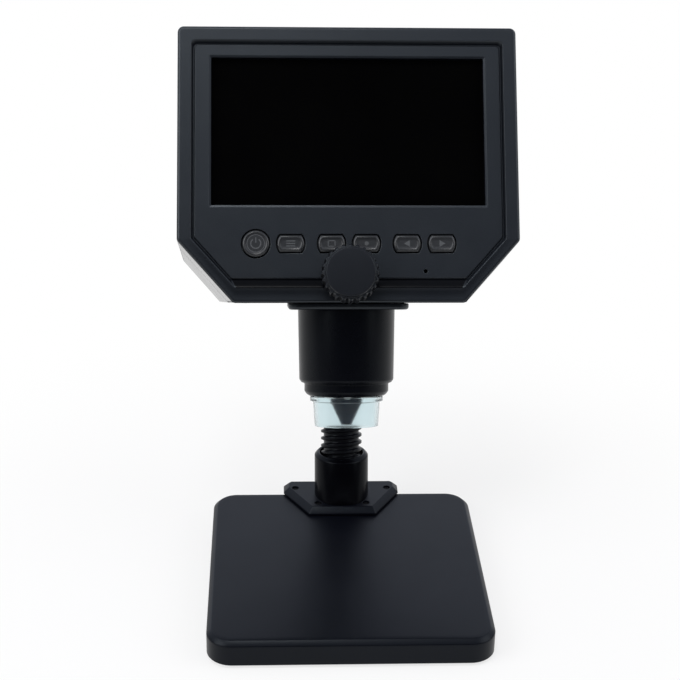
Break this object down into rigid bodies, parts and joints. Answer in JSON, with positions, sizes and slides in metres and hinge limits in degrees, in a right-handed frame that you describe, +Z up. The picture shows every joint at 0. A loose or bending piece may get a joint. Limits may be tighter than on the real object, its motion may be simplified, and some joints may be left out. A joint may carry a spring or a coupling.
{
  "type": "desktop digital microscope",
  "caption": "Digital microscope with a screen head and barrel, held on a leaning threaded column over a square weighted base.",
  "frame": {"origin": "on the table, under the middle of the square base", "axes": "+Z up; the screen faces -Y; the column leans back towards +Y; +X to the right of someone facing the screen"},
  "size_m": [0.1208, 0.1532, 0.193],
  "materials": {
    "case_plastic": "fine satin, near black",
    "base_plastic": "fine grain, near black",
    "barrel_plastic": "satin black",
    "rod_metal": "black anodised",
    "knob_plastic": "satin black",
    "key_plastic": "satin dark grey",
    "clear_plastic": "clear, faintly frosted",
    "screen_black": "polished black",
    "lens_glass": "clear",
    "display": "dark panel",
    "inner_plastic": "black",
    "bush_rubber": "black",
    "board": "green circuit board",
    "steel": "plain steel",
    "black_steel": "blackened",
    "cell": "foil pouch",
    "flex": "amber film"
  },
  "bodies": {
    "base": {"base_shell": "base_plastic", "base_cover": "base_plastic", "ballast_plate": "steel", "anti_slip_pad": "bush_rubber", "cover_screw_1": "steel", "cover_screw_2": "steel", "cover_screw_3": "steel", "cover_screw_4": "steel", "column_foot": "case_plastic", "foot_screw_1": "black_steel", "foot_screw_2": "black_steel", "foot_screw_3": "black_steel", "foot_screw_4": "black_steel", "threaded_rod": "rod_metal", "rod_cap": "barrel_plastic"},
    "carriage": {"carriage_arm": "case_plastic"},
    "nut": {"height_nut": "knob_plastic"},
    "bush": {"holder_bush": "bush_rubber"},
    "microscope": {"front_bezel": "case_plastic", "rear_shell": "case_plastic", "screen_window": "screen_black", "lcd_panel": "display", "main_board": "board", "key_board": "board", "sensor_board": "board", "flex_cable": "flex", "battery": "cell", "barrel_tube": "barrel_plastic", "guide_tube": "inner_plastic", "nose_ring": "barrel_plastic", "led_board": "board", "shroud": "clear_plastic", "lens_hood": "inner_plastic", "usb_socket": "steel", "card_socket": "steel", "dimmer_pot": "inner_plastic", "case_screw_1": "steel", "case_screw_2": "steel", "case_screw_3": "steel", "case_screw_4": "steel"},
    "focus": {"focus_knob": "knob_plastic", "focus_shaft": "steel"},
    "lens": {"lens_carrier": "inner_plastic", "objective_lens": "lens_glass"},
    "door": {"battery_door": "case_plastic"},
    "dimmer": {"dimmer_wheel": "knob_plastic"},
    "power": {"power_button": "key_plastic"},
    "key_1": {"key_1": "key_plastic"},
    "key_2": {"key_2": "key_plastic"},
    "key_3": {"key_3": "key_plastic"},
    "key_4": {"key_4": "key_plastic"},
    "key_5": {"key_5": "key_plastic"}
  },
  "joints": [
    {"name": "height_slide", "type": "slide", "parent": "base", "child": "carriage", "axis": [0, 0.3907, 0.9205], "range_m": [-0.025, 0.032]},
    {"name": "nut_turn", "type": "hinge", "parent": "carriage", "child": "nut", "pos_m": [0, 0.06716, 0.06577], "axis": [0, 0.3907, 0.9205], "range_deg": [-3300, 4200]},
    {"name": "head_swivel", "type": "hinge", "parent": "carriage", "child": "bush", "pos_m": [0, 0.03534, 0.09905], "axis": [0, 0.3907, 0.9205], "range_deg": [-35, 35]},
    {"name": "lift_out", "type": "slide", "parent": "bush", "child": "microscope", "axis": [0, 0.3907, 0.9205], "range_m": [0, 0.05]},
    {"name": "focus_turn", "type": "hinge", "parent": "microscope", "child": "focus", "pos_m": [0, 0.01689, 0.11686], "axis": [0, -0.848, 0.5299], "range_deg": [-65, 65]},
    {"name": "lens_slide", "type": "slide", "parent": "microscope", "child": "lens", "axis": [0, 0.3907, 0.9205], "range_m": [-0.0035, 0.0035]},
    {"name": "door_slide", "type": "slide", "parent": "microscope", "child": "door", "axis": [0, 0.3907, 0.9205], "range_m": [0, 0.04]},
    {"name": "dimmer_turn", "type": "hinge", "parent": "microscope", "child": "dimmer", "pos_m": [0.026, 0.05456, 0.10594], "axis": [0, 0.3907, 0.9205], "range_deg": [-135, 135]},
    {"name": "power_press", "type": "slide", "parent": "microscope", "child": "power", "axis": [0, 0.848, -0.5299], "range_m": [0, 0.0008], "stiffness_N_per_m": 400},
    {"name": "key_1_press", "type": "slide", "parent": "microscope", "child": "key_1", "axis": [0, 0.848, -0.5299], "range_m": [0, 0.0008], "stiffness_N_per_m": 400},
    {"name": "key_2_press", "type": "slide", "parent": "microscope", "child": "key_2", "axis": [0, 0.848, -0.5299], "range_m": [0, 0.0008], "stiffness_N_per_m": 400},
    {"name": "key_3_press", "type": "slide", "parent": "microscope", "child": "key_3", "axis": [0, 0.848, -0.5299], "range_m": [0, 0.0008], "stiffness_N_per_m": 400},
    {"name": "key_4_press", "type": "slide", "parent": "microscope", "child": "key_4", "axis": [0, 0.848, -0.5299], "range_m": [0, 0.0008], "stiffness_N_per_m": 400},
    {"name": "key_5_press", "type": "slide", "parent": "microscope", "child": "key_5", "axis": [0, 0.848, -0.5299], "range_m": [0, 0.0008], "stiffness_N_per_m": 400}
  ],
  "couplings": [
    {"joint": "nut_turn", "follows": "height_slide", "rad_per_m": 2244},
    {"joint": "lens_slide", "follows": "focus_turn", "m_per_rad": 0.0029631}
  ]
}
